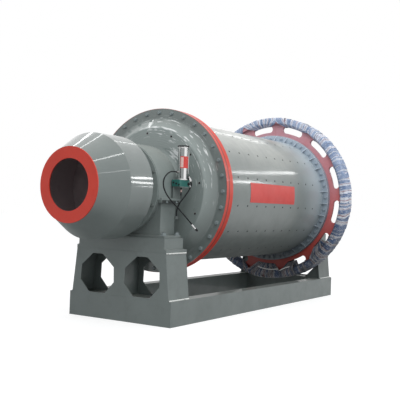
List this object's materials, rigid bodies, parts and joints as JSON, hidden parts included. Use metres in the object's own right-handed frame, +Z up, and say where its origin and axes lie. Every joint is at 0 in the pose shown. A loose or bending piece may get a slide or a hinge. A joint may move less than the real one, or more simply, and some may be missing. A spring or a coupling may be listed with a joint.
{
  "type": "ball mill",
  "caption": "Horizontal grinding drum turning on trunnion bearings above a welded steel base, with a conical feed drum, a cloth-wrapped girth gear and a grease pump.",
  "frame": {"origin": "on the floor, under the middle of the overall length and width", "axes": "+X along the drum from the feed end to the drive end, +Z up, the grease pump on the -Y side"},
  "size_m": [6.009, 2.6598, 2.94],
  "materials": {
    "grey_paint": "glossy grey paint",
    "orange_paint": "glossy orange-red paint",
    "red_paint": "flat red, bare of lettering",
    "green_paint": "green enamel",
    "bright_metal": "bright",
    "dark_plastic": "matt",
    "black_rubber": "satin",
    "bronze": "machined",
    "wrap_cloth": "striped woven strips"
  },
  "bodies": {
    "frame": {"near_rail": "grey_paint", "far_rail": "grey_paint", "feed_base_box": "grey_paint", "feed_pedestal_front": "grey_paint", "feed_pedestal_back": "grey_paint", "feed_pedestal_sides": "grey_paint", "feed_pedestal_web": "grey_paint", "feed_plinth": "grey_paint", "feed_bearing_base": "grey_paint", "feed_bearing_bush": "bronze", "feed_bearing_cap": "grey_paint", "feed_seal_ring": "grey_paint", "drive_base_box": "grey_paint", "drive_pedestal_front": "grey_paint", "drive_pedestal_back": "grey_paint", "drive_pedestal_sides": "grey_paint", "drive_pedestal_web": "grey_paint", "drive_plinth": "grey_paint", "drive_bearing_base": "grey_paint", "drive_bearing_bush": "bronze", "drive_bearing_cap": "grey_paint", "drive_seal_ring": "grey_paint", "pump_bracket": "grey_paint", "pump_body": "green_paint", "pump_reservoir": "bright_metal", "reservoir_lid": "dark_plastic", "reservoir_port": "bright_metal", "pump_valve": "bright_metal", "hose_a": "black_rubber", "hose_a_tip": "bright_metal", "hose_b": "black_rubber", "hose_b_elbow": "grey_paint"},
    "drum": {"shell": "grey_paint", "feed_shell_flange": "orange_paint", "drive_shell_flange": "grey_paint", "marker_plate": "red_paint", "girth_gear": "orange_paint", "gear_wrap": "wrap_cloth", "feed_head": "grey_paint", "drive_head": "grey_paint", "feed_drum": "grey_paint", "feed_drum_back": "grey_paint", "feed_lip": "orange_paint", "discharge_spout": "grey_paint"}
  },
  "joints": [
    {"name": "drum_spin", "type": "hinge", "parent": "frame", "child": "drum", "pos_m": [0, 0, 1.61], "axis": [1, 0, 0], "continuous": true}
  ]
}
